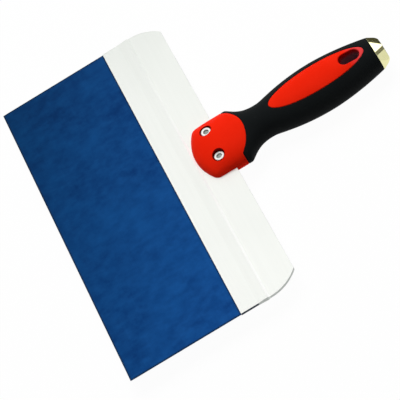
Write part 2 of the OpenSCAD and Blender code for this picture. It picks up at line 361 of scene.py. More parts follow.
def settle(obj):
    """Turns the modifiers of an object into plain mesh."""
    depsgraph = bpy.context.evaluated_depsgraph_get()
    depsgraph.update()
    mesh = bpy.data.meshes.new_from_object(obj.evaluated_get(depsgraph))
    obj.modifiers.clear()
    obj.data = mesh
    return obj


def cut(obj, cutters):
    """Cuts closed solids out of an object."""
    for cutter in cutters:
        mod = obj.modifiers.new("cut", "BOOLEAN")
        mod.operation = "DIFFERENCE"
        mod.solver = "EXACT"
        mod.object = cutter
        settle(obj)
        bpy.data.objects.remove(cutter)
    return obj


# ---- Soft grip ----

def mirrored_down(rings):
    """The same rings on the lower face."""
    return [[(x, y, -z) for x, y, z in ring] for ring in rings]


def grip_rings(depth, rounded):
    """Rings of the grip's upper half at a depth under its surface, from the oval to the border."""
    rings = []
    for grow in (0, *LIP_STEPS, LIP_R):
        fall = lip_drop(grow, LIP_R) if rounded else 0
        rings.append(on_top(oval_points(grow), depth + fall))
    edge = [(turn_at(x, y), y) for x, y in oval_points(LIP_R)]
    border = grip_border()
    for k in range(1, GRIP_RINGS + 1):
        t = 1 - (1 - k / GRIP_RINGS) ** GRIP_CROWDING
        ring = []
        for (turn0, y0), (turn1, y1) in zip(edge, border):
            turn, y = mix(turn0, turn1, t), mix(y0, y1, t)
            fall = border_fall(turn, y) if rounded else 0
            ring.append(on_section(turn, y, depth + fall))
        rings.append(ring)
    return rings


def border_fall(turn, y):
    """How far the grip is rounded off beside the joint and the butt edge."""
    return max(lip_drop(max(0.0, y - joint_y(turn)), JOINT_LIP_R),
               lip_drop(max(0.0, BUTT_Y - y), BUTT_EDGE_R))


def build_soft_grip():
    """Soft over-moulding: a skin between two copies of the section, open at ovals and jaws."""
    skin = Skin()
    outer, inner = grip_rings(0, True), grip_rings(SKIN_T, False)
    for out_rings, in_rings in ((outer, inner), (mirrored_down(outer), mirrored_down(inner))):
        out_made, in_made = skin.sheet(out_rings), skin.sheet(in_rings)
        skin.bridge(out_made[0], in_made[0])
        for run in (1, 3):  # the walls at the butt edge and at the joint
            at = [i % (4 * RUN) for i in range(run * RUN, (run + 1) * RUN + 1)]
            outer_wall, inner_wall = [out_made[-1][i] for i in at], [in_made[-1][i] for i in at]
            skin.bridge(outer_wall, inner_wall, closed=False)
    return skin.finish("soft_grip_skin")


# ---- Hard core ----

def island_rings():
    """Rings of the islands' upper face, from the wall of the hanging hole to the oval's edge."""
    rings = []
    for step in range(HOLE_RIM_RINGS + 1):
        grow = HANG_RIM_R * (1 - cos(pi / 2 * step / HOLE_RIM_RINGS))
        rings.append(on_top(hang_points(grow), lip_drop(grow, HANG_RIM_R)))
    inner, outer = hang_points(HANG_RIM_R), oval_points(-LIP_R)
    for k in range(1, ISLAND_RINGS + 1):
        t = k / ISLAND_RINGS
        rings.append(on_top([(mix(x0, x1, t), mix(y0, y1, t))
                             for (x0, y0), (x1, y1) in zip(inner, outer)]))
    for inset in (*reversed(LIP_STEPS), ISLAND_GAP):
        rings.append(on_top(oval_points(-inset), lip_drop(inset, LIP_R)))
    return rings


def build_oval_islands():
    """The hard core where it shows in both faces, with the hanging hole through it."""
    skin = Skin()
    rings = island_rings()
    upper, lower = skin.sheet(rings), skin.sheet(mirrored_down(rings))
    levels = [upper[0]]
    for k in range(1, HOLE_WALL_RINGS):
        levels.append(skin.ring([(x, y, mix(z, -z, k / HOLE_WALL_RINGS)) for x, y, z in rings[0]]))
    levels.append(lower[0])
    for a, b in zip(levels, levels[1:]):
        skin.bridge(a, b)
    skin.bridge(upper[-1], lower[-1])
    return skin.finish("oval_islands")


def jaw_rings():
    """Rings of the jaws from the nose to the joint, where their edge is rounded and turns in."""
    turns = full_turn(JAW_AROUND)
    nose_start = asin(NOSE_FLAT_W / 2 / NOSE_R)
    places = [NOSE_CENTRE_Y - NOSE_R * cos(mix(nose_start, NOSE_TURN, i / NOSE_ARC_RINGS))
              for i in range(NOSE_ARC_RINGS)]
    places += [NOSE_CORNER_Y - NOSE_CORNER_R * cos(mix(NOSE_TURN, pi / 2, i / NOSE_CORNER_RINGS))
               for i in range(NOSE_CORNER_RINGS + 1)]
    rings = [[on_section(turn, y) for turn in turns] for y in places]
    ends = [joint_y(turn) for turn in turns]
    for k in range(1, JAW_RINGS + 1):
        t = 1 - (1 - k / JAW_RINGS) ** JAW_CROWDING
        ring = []
        for turn, end in zip(turns, ends):
            y = mix(places[-1], end, t)
            ring.append(on_section(turn, y, lip_drop(end - y, JOINT_LIP_R)))
        rings.append(ring)
    drawn_in = SKIN_T + WALL_TUCK
    rings.append([on_section(turn, end, drawn_in) for turn, end in zip(turns, ends)])
    return rings


def build_jaws():
    """The hard jaws over the strip, cut for its web and for the rivets and their heads."""
    skin = Skin()
    made = skin.sheet(jaw_rings())
    skin.fan(made[0], (0, NOSE_Y, 0))
    skin.fan(made[-1], (0, JOINT_Y, 0))
    jaws = skin.finish("jaws")
    web = rectangle(-CUT_WIDE, NOSE_Y - CUT_AHEAD, CUT_WIDE, SPINE_Y + SLOT_GAP)
    cutters = [prism(web, -STRIP_T / 2, STRIP_T / 2)]
    under_head = HEAD_TOP - HEAD_T
    for x in (-RIVET_GAP / 2, RIVET_GAP / 2):
        recess = circle(x, RIVET_Y, RECESS_D / 2, ROD_AROUND)
        bore = circle(x, RIVET_Y, SLEEVE_D / 2, ROD_AROUND)
        cutters += [prism(recess, under_head, CUT_TALL), prism(recess, -CUT_TALL, -under_head),
                    prism(bore, -CUT_TALL, CUT_TALL)]
    return cut(jaws, cutters)


def build_stem():
    """The hard core inside the soft grip, from under the jaws to just short of the butt."""
    skin = Skin()
    front, back = JOINT_Y - STEM_TUCK, BUTT_Y - SHELL_GAP
    places = [mix(front, back, k / STEM_RINGS) for k in range(STEM_RINGS + 1)]
    turns = full_turn(STEM_AROUND)
    made = skin.sheet([[on_section(turn, y, SKIN_T) for turn in turns] for y in places])
    skin.fan(made[0], (0, places[0], 0))
    skin.fan(made[-1], (0, places[-1], 0))
    hole = hang_points(SHELL_GAP)
    return cut(skin.finish("stem"), [prism(hole, -CUT_TALL, CUT_TALL)])


def prism(outline, z0, z1):
    """A closed solid that stands on an outline in plan, between two heights."""
    skin = Skin()
    skin.sheet([[(x, y, z) for x, y in outline] for z in (z0, z1)])
    bmesh.ops.holes_fill(skin.bm, edges=skin.bm.edges)
    return skin.finish("cutter")


def join(name, parts):
    """One object from several closed shells."""
    bm = bmesh.new()
    for part in parts:
        bm.from_mesh(part.data)
        bpy.data.objects.remove(part)
    return new_object(name, bm)


# ---- Blade, strip and hammer end ----

def crown_edges(bm):
    """The edges between the hammer end's sloping faces and its crown facets, above and below."""
    butt = frame_y(BUTT_Y)
    least_z, least_y = 0.4, 0.2

    def slopes(face):
        """Whether a face of the block looks both up or down and away from the grip."""
        leans = abs(face.normal.z) > least_z and face.normal.y > least_y
        return leans and face.calc_center_median().y > butt

    return [e for e in bm.edges if len(e.link_faces) == 2 and all(map(slopes, e.link_faces))]


def dressed_copy(node, name, bevel, angle=20, crown_bevel=0.0):
    """A merged copy of a CAD node whose edges over an angle in degrees are broken by a bevel. The
    hammer end's crown edges get a wider, flat one first."""
    bm = bmesh.new()
    bm.from_mesh(nodes[node].data)
    bmesh.ops.remove_doubles(bm, verts=bm.verts, dist=2e-6)
    bmesh.ops.dissolve_limit(bm, angle_limit=radians(1), verts=bm.verts, edges=bm.edges)
    if crown_bevel:
        bmesh.ops.bevel(bm, geom=crown_edges(bm), offset=crown_bevel * MM, segments=1,
                        profile=0.5, affect="EDGES")
    obj = new_object(name, bm)
    mod = obj.modifiers.new("broken edges", "BEVEL")
    mod.width = bevel * MM
    mod.segments = 2
    mod.limit_method = "ANGLE"
    mod.angle_limit = radians(angle)
    return settle(obj)


# ---- Adding nodes ----

class Graph:
    """Short ways to add and join nodes in one tree."""

    def __init__(self, tree):
        self.tree = tree

    def feed(self, socket, value):
        """Gives an input socket a link, or a plain value."""
        if hasattr(value, "is_output"):
            self.tree.links.new(value, socket)
        else:
            socket.default_value = value

    def feed_named(self, node, inputs):
        """Feeds inputs by their names, written with _ for a space."""
        for key, value in inputs.items():
            self.feed(node.inputs[key.replace("_", " ")], value)
        return node

    def add(self, kind, **inputs):
        return self.feed_named(self.tree.nodes.new(kind), inputs)

    def shared(self, name, **inputs):
        """Outputs of one of the shared shader groups, placed with its own values."""
        node = self.tree.nodes.new("ShaderNodeGroup")
        node.node_tree = bpy.data.node_groups[name]
        return self.feed_named(node, inputs).outputs

    def maths(self, kind, a, b=0.0):
        node = self.tree.nodes.new("ShaderNodeMath")
        node.operation = kind
        self.feed(node.inputs[0], a)
        self.feed(node.inputs[1], b)
        return node.outputs[0]

    def blend(self, amount, a, b, kind="MIX"):
        """A colour between a and b; a Mix node keeps its colours in inputs 6 and 7, output 2."""
        node = self.tree.nodes.new("ShaderNodeMix")
        node.data_type, node.blend_type = "RGBA", kind
        self.feed(node.inputs[0], amount)
        self.feed(node.inputs[6], a)
        self.feed(node.inputs[7], b)
        return node.outputs[2]

    def spread(self, value, low, high, to_low=0.0, to_high=1.0):
        """A value carried from one range to another and held inside it."""
        return self.add("ShaderNodeMapRange", Value=value, From_Min=low, From_Max=high,
                        To_Min=to_low, To_Max=to_high).outputs[0]

    def noise(self, where, scale, **inputs):
        return self.add("ShaderNodeTexNoise", Vector=where, Scale=scale, **inputs).outputs[0]

    def where(self):
        """Object coordinates, in metres."""
        return self.add("ShaderNodeTexCoord").outputs["Object"]

    def where_xyz(self):
        """Object coordinates as X, Y and Z outputs, in metres."""
        return self.add("ShaderNodeSeparateXYZ", Vector=self.where()).outputs


# ---- Rivet sleeves, by Geometry Nodes ----

RIVET_SIZES = {  # millimetres
    "Head Diameter": HEAD_D, "Head Thickness": HEAD_T, "Head Top": HEAD_TOP,
    "Tube Diameter": SLEEVE_D, "Tube Foot": HEAD_T - HEAD_TOP, "Bore": SLEEVE_BORE,
    "Edge Rounding": HEAD_EDGE_R, "Spacing": RIVET_GAP,
}


def swept_ring(g, outer_d, inner_d, top, height, rounding):
    """A closed ring between two diameters: a rounded rectangle swept round a circle."""
    mean_r = g.maths("MULTIPLY", g.maths("ADD", outer_d, inner_d), 0.25)
    wall = g.maths("MULTIPLY", g.maths("SUBTRACT", outer_d, inner_d), 0.5)
    rail = g.add("GeometryNodeCurvePrimitiveCircle", Resolution=RIVET_AROUND,
                 Radius=mean_r).outputs[0]
    box = g.add("GeometryNodeCurvePrimitiveQuadrilateral", Width=wall, Height=height).outputs[0]
    fillet = g.add("GeometryNodeFilletCurve", Curve=box, Radius=rounding)
    fillet.mode = "POLY"
    fillet.inputs["Count"].default_value = RIVET_EDGE_STEPS
    sweep = g.add("GeometryNodeCurveToMesh", Curve=rail, Profile_Curve=fillet.outputs[0])
    middle = g.maths("SUBTRACT", top, g.maths("MULTIPLY", height, 0.5))
    lift = g.add("ShaderNodeCombineXYZ", Z=middle).outputs[0]
    return g.add("GeometryNodeTransform", Geometry=sweep.outputs[0], Translation=lift).outputs[0]


def rivet_places(g, given):
    """Two points, half the spacing to either side of the place."""
    pair = g.add("GeometryNodeMeshLine", Count=2)
    pair.mode = "END_POINTS"
    for sign, socket in ((-0.5, "Start Location"), (0.5, "Offset")):
        aside = g.maths("MULTIPLY", given["Spacing"], sign)
        spot = g.add("ShaderNodeVectorMath")
        g.feed(spot.inputs[0], g.add("ShaderNodeCombineXYZ", X=aside).outputs[0])
        g.feed(spot.inputs[1], given["Place"])
        g.feed(pair.inputs[socket], spot.outputs[0])
    return pair.outputs[0]


def rivet_tree():
    """A flanged tube at each rivet place: a ring for the head and a longer one for the tube."""
    tree = bpy.data.node_groups.new("Rivet Sleeves", "GeometryNodeTree")
    tree.is_modifier = True
    for label in RIVET_SIZES:
        tree.interface.new_socket(label, in_out="INPUT", socket_type="NodeSocketFloat")
    tree.interface.new_socket("Finish", in_out="INPUT", socket_type="NodeSocketMaterial")
    tree.interface.new_socket("Place", in_out="INPUT", socket_type="NodeSocketVector")
    tree.interface.new_socket("Geometry", in_out="OUTPUT", socket_type="NodeSocketGeometry")
    g = Graph(tree)
    given = g.add("NodeGroupInput").outputs
    bore, head_t, rounding = given["Bore"], given["Head Thickness"], given["Edge Rounding"]
    head = swept_ring(g, given["Head Diameter"], bore, given["Head Top"], head_t, rounding)
    tube_top = g.maths("SUBTRACT", given["Head Top"], g.maths("MULTIPLY", head_t, 0.5))
    tube_l = g.maths("SUBTRACT", tube_top, given["Tube Foot"])
    tube = swept_ring(g, given["Tube Diameter"], bore, tube_top, tube_l, rounding)
    both = g.add("GeometryNodeJoinGeometry")
    g.feed(both.inputs[0], head)
    g.feed(both.inputs[0], tube)
    copies = g.add("GeometryNodeInstanceOnPoints", Points=rivet_places(g, given),
                   Instance=both.outputs[0])
    real = g.add("GeometryNodeRealizeInstances", Geometry=copies.outputs[0])
    finish = g.add("GeometryNodeSetMaterial", Geometry=real.outputs[0], Material=given["Finish"])
    g.feed(tree.nodes.new("NodeGroupOutput").inputs[0], finish.outputs[0])
    return tree


def build_rivet_sleeves(finish):
    """Both sleeves as one plain mesh."""
    obj = new_object("rivet_sleeves", bmesh.new())
    mod = obj.modifiers.new("rivets", "NODES")
    mod.node_group = rivet_tree()
    values = {label: size * MM for label, size in RIVET_SIZES.items()}
    values.update({"Finish": finish, "Place": tuple(place(0, RIVET_Y, 0))})
    for item in mod.node_group.interface.items_tree:
        if item.name in values and item.in_out == "INPUT":
            mod[item.identifier] = values[item.name]
    settle(obj)
    face_outward(obj)
    return obj


def face_outward(obj):
    """Merges coincident points and turns every face outwards."""
    bm = bmesh.new()
    bm.from_mesh(obj.data)
    bmesh.ops.remove_doubles(bm, verts=bm.verts, dist=1e-7)
    bmesh.ops.recalc_face_normals(bm, faces=bm.faces)
    bm.to_mesh(obj.data)
    bm.free()


# ---- Shared shader groups ----

def new_group(name, inputs, outputs):
    """An empty shader group; returns its graph, the inputs it is given and its output sockets."""
    tree = bpy.data.node_groups.new(name, "ShaderNodeTree")
    for label, usual in inputs.items():
        kind = "NodeSocketVector" if isinstance(usual, tuple) else "NodeSocketFloat"
        tree.interface.new_socket(label, in_out="INPUT", socket_type=kind).default_value = usual
    for label in outputs:
        tree.interface.new_socket(label, in_out="OUTPUT", socket_type="NodeSocketFloat")
    given = tree.nodes.new("NodeGroupInput").outputs
    return Graph(tree), given, tree.nodes.new("NodeGroupOutput").inputs


def brushed_lines_group():
    """Fine lines along X, as rolling and polishing leave them: a height and a tone."""
    g, given, out = new_group("Brushed Lines", {"Fineness": 900.0, "Streaks": 60.0},
                              ("Height", "Tone"))
    drawn = g.add("ShaderNodeMapping", Vector=g.where(), Scale=(0.03, 1.0, 1.0)).outputs[0]
    fine = g.noise(drawn, given["Fineness"], Detail=3.0, Roughness=0.6)
    broad = g.noise(drawn, given["Streaks"], Detail=2.0)
    g.feed(out["Height"], fine)
    both = g.maths("MULTIPLY", g.maths("ADD", fine, broad), 0.5)
    g.feed(out["Tone"], g.spread(both, 0.3, 0.7))


def fine_grain_group():
    """Height of a spark-eroded mould texture: tiny rounded pits."""
    g, given, out = new_group("Fine Grain", {"Grain Size": 2500.0}, ("Height",))
    where = g.where()
    cells = g.add("ShaderNodeTexVoronoi", Vector=where, Scale=given["Grain Size"])
    pits = g.spread(cells.outputs["Distance"], 0.15, 0.7)
    noise = g.noise(where, given["Grain Size"], Detail=2.0)
    height = g.maths("ADD", g.maths("MULTIPLY", pits, 0.6), g.maths("MULTIPLY", noise, 0.4))
    g.feed(out["Height"], height)


def handling_marks_group():
    """Faint smudges and dust left by hands: a slow mask and a speckle mask."""
    usual = {"Patch Size": 28.0, "Patch Shape": (1, 1, 1), "Speckle Size": 700.0}
    g, given, out = new_group("Handling Marks", usual, ("Smudge", "Speckle"))
    where = g.where()
    shaped = g.add("ShaderNodeMapping", Vector=where, Scale=given["Patch Shape"]).outputs[0]
    patches = g.noise(shaped, given["Patch Size"], Detail=4.0, Roughness=0.62)
    specks = g.noise(where, given["Speckle Size"], Detail=1.0)
    g.feed(out["Smudge"], g.spread(patches, 0.35, 0.7))
    g.feed(out["Speckle"], g.spread(specks, 0.66, 0.78))


# ---- Places on the knife, for the materials ----

def end_to_end(g, at_minus=0.0, at_plus=1.0):
    """A value that runs from the -X end of the blade to its +X end."""
    half = BLADE_W / 2 * MM
    return g.spread(g.where_xyz()["X"], -half, half, at_minus, at_plus)


def from_y(g, where, y):
    """How far a point lies behind a place along the knife."""
    return g.maths("SUBTRACT", where["Y"], frame_y(y))


def length_of(g, x, y):
    """How far a point (x, y) is from the origin."""
    return g.maths("SQRT", g.maths("ADD", g.maths("MULTIPLY", x, x), g.maths("MULTIPLY", y, y)))


def painted_blade_shading(g):
    """Painted shading across the blade: darker by the working edge and -X end, lighter by the
    strip and +X end, as the light falls on it."""
    deeper, paler = (0.4, 0.66, 0.62, 1), (2.0, 1.4, 1.42, 1)
    along_x = end_to_end(g, -0.31, 0.31)
    along_y = g.spread(g.where_xyz()["Y"], frame_y(0), frame_y(BLADE_OUT), -0.2, 0.22)
    return g.blend(g.maths("ADD", 0.5, g.maths("ADD", along_x, along_y)), deeper, paler)


def blade_border_shade(g):
    """Mask of painted shade: within a millimetre or so of the blade's ends, working edge and the
    strip's lips.
    """
    where = g.where_xyz()
    to_end = g.maths("SUBTRACT", BLADE_W / 2 * MM, g.maths("ABSOLUTE", where["X"]))
    to_edge = from_y(g, where, 0)
    to_lip = g.maths("SUBTRACT", frame_y(BLADE_OUT), where["Y"])
    nearest = g.maths("MINIMUM", to_end, g.maths("MINIMUM", to_edge, to_lip))
    return g.spread(nearest, 0.3 * MM, 1.5 * MM, 0.75, 0.0)


def ridge_glint_masks(g):
    """Two masks of a painted glint on the steep side of the strip's ridge: metallic, growing
    towards the +X end, and dull beside the jaws, without metal, so that it doesn't reflect them."""
    where = g.where_xyz()
    away = g.maths("ABSOLUTE", from_y(g, where, RIDGE_Y + RIDGE_FOOT / 2))
    band = g.spread(away, RIDGE_FOOT * 0.7 * MM, RIDGE_FOOT * 0.4 * MM)
    aside, jaw_glint_reach = g.maths("ABSOLUTE", where["X"]), 16
    by_jaws = g.spread(aside, (JAW_W / 2 + jaw_glint_reach) * MM, JAW_W / 2 * MM)
    dull = g.maths("MULTIPLY", band, by_jaws)
    ridge_glint = g.maths("MULTIPLY", g.maths("SUBTRACT", band, dull), end_to_end(g, 0.05, 0.9))
    return ridge_glint, dull


def sawn_ends(g):
    """Mask: the upright faces of the strip, where the saw cut it."""
    normal = g.add("ShaderNodeNewGeometry").outputs["True Normal"]
    level = g.add("ShaderNodeSeparateXYZ", Vector=normal).outputs["Z"]
    return g.spread(g.maths("ABSOLUTE", level), 0.5, 0.3)


def oval_tip_highlight(g):
    """Mask of a painted highlight: the band inside the oval's edge, strongest at its tip by the
    hanging hole.
    """
    where = g.where_xyz()
    x = g.maths("DIVIDE", where["X"], OVAL_W / 2 * MM)
    y = g.maths("DIVIDE", from_y(g, where, OVAL_Y), OVAL_L / 2 * MM)
    out = length_of(g, x, y)  # 1 on the oval's edge
    band = g.maths("MULTIPLY", g.spread(out, 0.74, 0.88), g.spread(out, 1.06, 0.98))
    near_tip = g.spread(where["Y"], frame_y(HANG_Y - 2), frame_y(HANG_Y + 7))
    most = 0.8
    return g.maths("MULTIPLY", g.maths("MULTIPLY", band, near_tip), most)


def hole_wall_shade(g):
    """Mask of painted shade: the walls of the hanging hole, fading out over its rounded rim."""
    where = g.where_xyz()
    straight = ((HANG_L - HANG_W) / 2 - 0.5) * MM
    past = g.maths("SUBTRACT", g.maths("ABSOLUTE", from_y(g, where, HANG_Y)), straight)
    away = length_of(g, where["X"], g.maths("MAXIMUM", past, 0.0))
    return g.spread(away, (HANG_W / 2 + 0.25) * MM, (HANG_W / 2 + 1.1) * MM, 0.97, 0.0)


def rivet_recess_shade(g):
    """Mask of painted shade: the narrow recess round each rivet head."""
    where = g.where_xyz()
    aside = g.maths("SUBTRACT", g.maths("ABSOLUTE", where["X"]), RIVET_GAP / 2 * MM)
    away = length_of(g, aside, from_y(g, where, RIVET_Y))
    return g.spread(away, (RECESS_D / 2 - 0.1) * MM, (RECESS_D / 2 + 0.4) * MM, 0.85, 0.0)


def depth_in_hole(g):
    """Depth of the painted shade in the hanging hole: 0 at its rim, on either face, to 1 well
    inside it.
    """
    rim, well_inside = 9.5 * MM, 6 * MM  # heights over the blade's mid-plane
    height = g.maths("ABSOLUTE", g.maths("SUBTRACT", g.where_xyz()["Z"], place(0, 0, 0).z))
    return g.spread(height, rim, well_inside)


# ---- Materials ----

def bare_graph(owner):
    """The node tree of a material or world, with nothing in it."""
    owner.use_nodes = True
    owner.node_tree.nodes.clear()
    return Graph(owner.node_tree)


def new_material(name):
    """A Principled material; returns it with its graph and the shader's inputs."""
    material = bpy.data.materials.new(name)
    g = bare_graph(material)
    shader = g.add("ShaderNodeBsdfPrincipled")
    g.add("ShaderNodeOutputMaterial", Surface=shader.outputs[0])
    return material, g, shader.inputs


def bump(g, height, strength, depth):
    """Normals for a height pattern of a depth in millimetres."""
    return g.add("ShaderNodeBump", Strength=strength, Distance=depth * MM,
                 Height=height).outputs[0]


def raised(g, least, mask, more):
    """A value that rises from its least by so much more where a mask is full."""
    return g.maths("ADD", least, g.maths("MULTIPLY", mask, more))


def blued_steel():
    """Spring steel with a deep blue oxide: mottled across the blade, faint drawn lines, painted
    light that brightens it towards the +X end, and painted shade darker along its borders."""
    material, g, s = new_material("blued_steel")
    lines = g.shared("Brushed Lines", Fineness=700.0, Streaks=45.0)
    marks = g.shared("Handling Marks", Patch_Size=38.0)
    mottle = g.shared("Handling Marks", Patch_Size=150.0, Patch_Shape=(1.0, 0.7, 1.0))
    deep_blue, clear_blue = (0.0014, 0.0285, 0.126, 1), (0.0046, 0.0575, 0.204, 1)
    cloud_blue, border_shade_blue = (0.0050, 0.078, 0.27, 1), (0.006, 0.016, 0.03, 1)
    mottle_share, cloud_share = 0.78, 0.5
    tone = g.blend(mottle_share, lines["Tone"], mottle["Smudge"])
    mottled = g.blend(tone, deep_blue, clear_blue)
    cloudy = g.blend(g.maths("MULTIPLY", marks["Smudge"], cloud_share), mottled, cloud_blue)
    # painted light: the blade's colour is multiplied by a gradient of painted shading
    shaded_blue = g.blend(1.0, cloudy, painted_blade_shading(g), "MULTIPLY")
    # painted shade: a dark blue band along the blade's ends, working edge and under the strip's
    # lips
    g.feed(s["Base Color"], g.blend(blade_border_shade(g), shaded_blue, border_shade_blue))
    s["Metallic"].default_value = 0.55
    g.feed(s["Roughness"], raised(g, 0.4, marks["Smudge"], 0.1))
    s["Specular IOR Level"].default_value = 0.02
    g.feed(s["Normal"], bump(g, lines["Height"], strength=0.12, depth=0.03))
    return material


def bright_aluminium():
    """Extruded aluminium: fine die lines, painted light brighter towards the +X end, a painted
    glint on the ridge, and dull sawn ends with painted shade where the slot opens in them."""
    material, g, s = new_material("bright_aluminium")
    lines = g.shared("Brushed Lines", Fineness=520.0, Streaks=30.0)
    marks = g.shared("Handling Marks", Patch_Size=22.0)
    dim, bright = (0.768, 0.796, 0.757, 1), (0.947, 0.963, 0.924, 1)
    glint_white = (0.99, 0.995, 0.98, 1)
    slot_shade_black, sawn_grey = (0.02, 0.022, 0.022, 1), (0.58, 0.61, 0.58, 1)
    line_share = 0.2
    ridge_glint, dull = ridge_glint_masks(g)
    # painted light: the strip is lighter towards the +X end, mixed with the die lines' own tone
    lit_ramp_and_lines = g.blend(line_share, g.maths("SQRT", end_to_end(g)), lines["Tone"])
    # painted highlight: both ridge masks give the steep side a near-white colour
    faces = g.blend(g.maths("ADD", ridge_glint, dull), g.blend(lit_ramp_and_lines, dim, bright), glint_white)
    # painted shade: the sawn ends of the lips, in front of the slot, are near black
    behind_slot = g.spread(g.where_xyz()["Y"], frame_y(SLOT_Y - 0.6), frame_y(SLOT_Y + 0.6))
    ends = g.blend(behind_slot, slot_shade_black, sawn_grey)
    g.feed(s["Base Color"], g.blend(sawn_ends(g), faces, ends))
    # metallic rises under the painted glint and falls to none beside the jaws
    g.feed(s["Metallic"], g.spread(g.maths("SUBTRACT", ridge_glint, dull), -1.0, 1.0))
    g.feed(s["Roughness"], raised(g, 0.4, marks["Smudge"], 0.06))
    s["Specular IOR Level"].default_value = 0.2
    g.feed(s["Normal"], bump(g, lines["Height"], strength=0.1, depth=0.03))
    return material


def red_plastic():
    """Hard satin moulding: slight orange-peel skin, a painted highlight on the rim at the tip of
    the oval, and painted shade in the hanging hole and round the rivets."""
    material, g, s = new_material("red_plastic")
    grain = g.shared("Fine Grain", Grain_Size=900.0)
    marks = g.shared("Handling Marks", Patch_Size=40.0)
    full_red, worn_red = (0.885, 0.0175, 0.0035, 1), (0.93, 0.0215, 0.0055, 1)
    highlight_pink, recess_shade_red = (0.84, 0.075, 0.08, 1), (0.2, 0.002, 0.002, 1)
    hole_red, hole_grey = (0.5, 0.004, 0.004, 1), (0.25, 0.17, 0.2, 1)
    clean = g.blend(marks["Smudge"], full_red, worn_red)
    # painted highlight: a paler pink band round the oval's tip
    highlighted = g.blend(oval_tip_highlight(g), clean, highlight_pink)
    # painted shade: the recesses round the rivet heads are darkened
    recess_shaded = g.blend(rivet_recess_shade(g), highlighted, recess_shade_red)
    # painted shade: the hole's walls are dark red by the rim and dark greyish purple deeper in
    hole_shade = g.blend(depth_in_hole(g), hole_red, hole_grey)
    g.feed(s["Base Color"], g.blend(hole_wall_shade(g), recess_shaded, hole_shade))
    g.feed(s["Roughness"], raised(g, 0.4, marks["Smudge"], 0.08))
    s["Specular IOR Level"].default_value = 0.02
    g.feed(s["Normal"], bump(g, grain["Height"], strength=0.12, depth=0.04))
    return material


def black_rubber():
    """Soft over-moulding with a fine matt texture and a little dust in it."""
    material, g, s = new_material("black_rubber")
    grain = g.shared("Fine Grain", Grain_Size=2200.0)
    marks = g.shared("Handling Marks", Patch_Size=30.0)
    black, worn_black = (0.0048, 0.0060, 0.0063, 1), (0.0074, 0.0088, 0.0093, 1)
    dust, dust_share = (0.035, 0.04, 0.043, 1), 0.1
    rubber = g.blend(marks["Smudge"], black, worn_black)
    dusty = g.blend(g.maths("MULTIPLY", marks["Speckle"], dust_share), rubber, dust)
    g.feed(s["Base Color"], dusty)
    g.feed(s["Roughness"], raised(g, 0.62, marks["Smudge"], 0.1))
    s["Specular IOR Level"].default_value = 0.045
    g.feed(s["Normal"], bump(g, grain["Height"], strength=0.2, depth=0.05))
    return material


def polished_brass():
    """Brass-plated striking end, polished, with faint buffing lines and tiny knocks."""
    material, g, s = new_material("polished_brass")
    lines = g.shared("Brushed Lines", Fineness=900.0, Streaks=80.0)
    marks = g.shared("Handling Marks", Patch_Size=120.0, Speckle_Size=900.0)
    brass, buffed_brass = (0.80, 0.77, 0.40, 1), (0.87, 0.84, 0.48, 1)
    g.feed(s["Base Color"], g.blend(lines["Tone"], brass, buffed_brass))
    s["Metallic"].default_value = 1.0
    g.feed(s["Roughness"], raised(g, 0.09, marks["Smudge"], 0.06))
    g.feed(s["Normal"], bump(g, marks["Speckle"], strength=0.05, depth=0.02))
    return material


def rivet_steel(name, dim, bright):
    """Plated rivet metal between two tones, with a slightly uneven skin."""
    material, g, s = new_material(name)
    marks = g.shared("Handling Marks", Patch_Size=400.0, Speckle_Size=1600.0)
    g.feed(s["Base Color"], g.blend(marks["Smudge"], dim, bright))
    s["Metallic"].default_value = 0.6
    g.feed(s["Roughness"], raised(g, 0.3, marks["Smudge"], 0.12))
    g.feed(s["Normal"], bump(g, marks["Smudge"], strength=0.08, depth=0.03))
    return material


def give(obj, material):
    """Gives a piece its material and its body."""
    obj.data.materials.clear()
    obj.data.materials.append(material)
    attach(obj, "root")
    return obj


# ---- Stage: floor, light and camera, in metres ----

WHITE = (1, 1, 1, 1)
FLOOR_HALF = 3.0
FLOOR_LIT = (0.9, 0.9, 0.9, 1)
VEIL = 0.97  # share of plain white in what is seen of the floor
FILL = 0.06  # strength of the even light from all round

CAMERA_EYE = place(1028.15, 179.49, 1198.12)
CAMERA_BACK = Vector((0.63918, 0.05562, 0.76704))
CAMERA_UP = Vector((-0.67591, 0.51642, 0.52579))
LENS, SENSOR, VIEW_END = 216, 36, 20


def seen(g):
    """1 for rays from the camera, in gloss and through glass, 0 for those that light the knife."""
    path = g.add("ShaderNodeLightPath").outputs
    in_gloss_or_glass = g.maths("MAXIMUM", path["Is Glossy Ray"], path["Is Transmission Ray"])
    return g.maths("MAXIMUM", path["Is Camera Ray"], in_gloss_or_glass)


def pale_floor():
    """Floor that looks almost plain white to the camera and in reflections, but keeps shadows."""
    material = bpy.data.materials.new("pale_floor")
    g = bare_graph(material)
    veil = g.add("ShaderNodeMixShader")
    g.feed(veil.inputs[0], g.maths("MULTIPLY", seen(g), VEIL))
    g.feed(veil.inputs[1], g.add("ShaderNodeBsdfDiffuse", Color=FLOOR_LIT).outputs[0])
    g.feed(veil.inputs[2], g.add("ShaderNodeEmission", Color=WHITE, Strength=1.0).outputs[0])
    g.add("ShaderNodeOutputMaterial", Surface=veil.outputs[0])
    return material


def build_floor():
    bm = bmesh.new()
    bmesh.ops.create_grid(bm, x_segments=8, y_segments=8, size=FLOOR_HALF)
    floor = new_object("floor", bm)
    floor.data.materials.append(pale_floor())


def build_world():
    """Even fill light from all round, plain white to the camera and in reflections."""
    world = bpy.data.worlds.new("studio")
    g = bare_graph(world)
    strength = g.spread(seen(g), 0.0, 1.0, FILL, 1.0)
    back = g.add("ShaderNodeBackground", Color=WHITE, Strength=strength)
    g.add("ShaderNodeOutputWorld", Surface=back.outputs[0])
    scene.world = world


